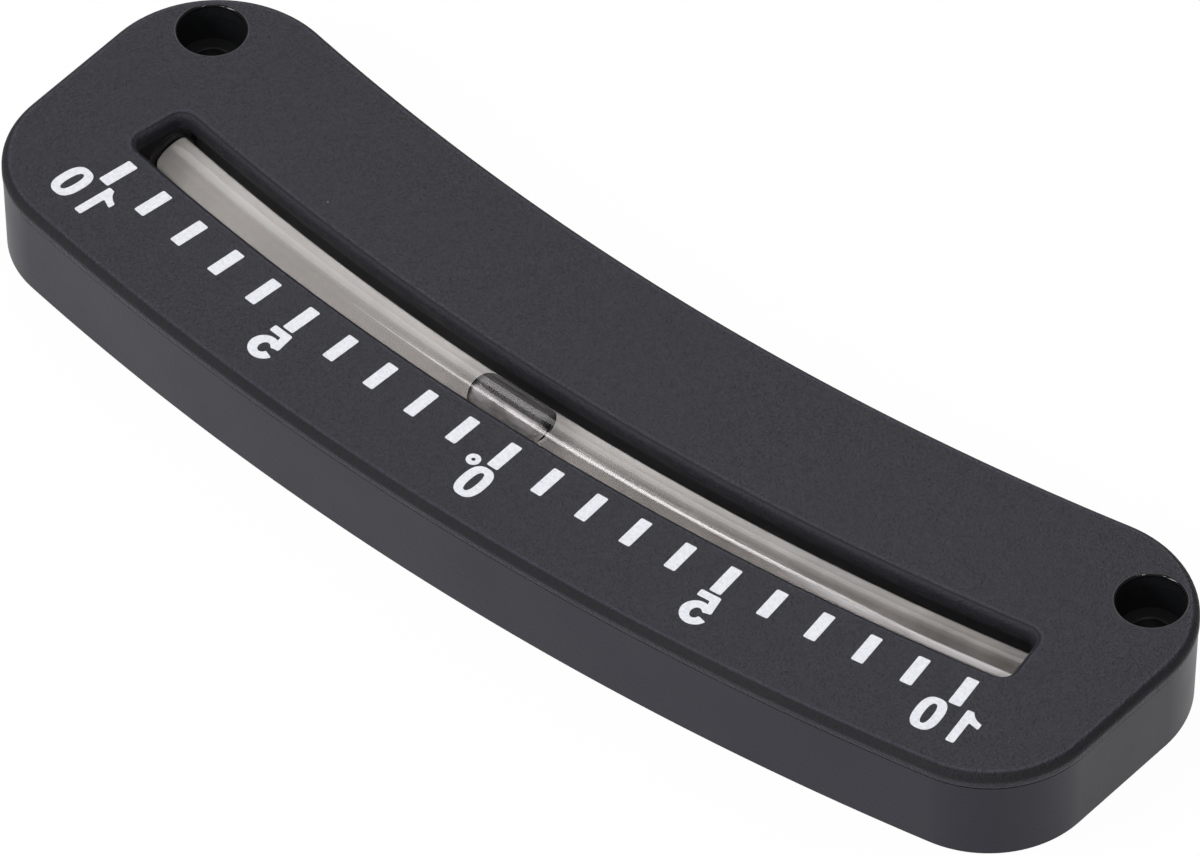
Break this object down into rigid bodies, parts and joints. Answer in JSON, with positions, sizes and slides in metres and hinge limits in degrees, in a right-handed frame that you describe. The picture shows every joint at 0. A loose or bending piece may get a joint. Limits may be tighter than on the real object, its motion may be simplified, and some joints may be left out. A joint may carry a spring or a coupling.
{
  "type": "inclinometer",
  "caption": "Curved tube inclinometer: arched black case with a window slot over a bent glass tube whose air bubble shows tilt against a degree scale.",
  "frame": {"origin": "middle of the flat back face, under the middle of the outline", "axes": "+Z out of the face towards the reader, +X along the length, -Y towards the convex edge that carries the scale"},
  "size_m": [0.1566, 0.0498, 0.0132],
  "materials": {
    "case_plastic": "fine grained satin moulding",
    "cover_plastic": "plain satin moulding",
    "tube_glass": "clear polished",
    "plug_sealant": "matte",
    "fluid": "clear liquid with a faint warm tint",
    "air": "clear",
    "cushion_rubber": "matte",
    "pale_strip": "matte pale grey",
    "screw_steel": "plain zinc plated"
  },
  "bodies": {
    "case": {"front_case": "case_plastic", "back_cover": "cover_plastic", "glass_tube": "tube_glass", "tube_plug_left": "plug_sealant", "tube_plug_right": "plug_sealant", "damping_fluid": "fluid", "tube_cushion_left": "cushion_rubber", "tube_cushion_right": "cushion_rubber", "backing_strip": "pale_strip", "cover_screw_1": "screw_steel", "cover_screw_2": "screw_steel", "cover_screw_3": "screw_steel", "cover_screw_4": "screw_steel", "cover_screw_5": "screw_steel", "cover_screw_6": "screw_steel"},
    "bubble": {"air_bubble": "air"}
  },
  "joints": [
    {"name": "bubble_travel", "type": "hinge", "parent": "case", "child": "bubble", "pos_m": [0, 0.34907, 0.0077], "axis": [0, 0, 1], "range_deg": [-8.85, 11.15], "deforming": ["damping_fluid"]}
  ]
}
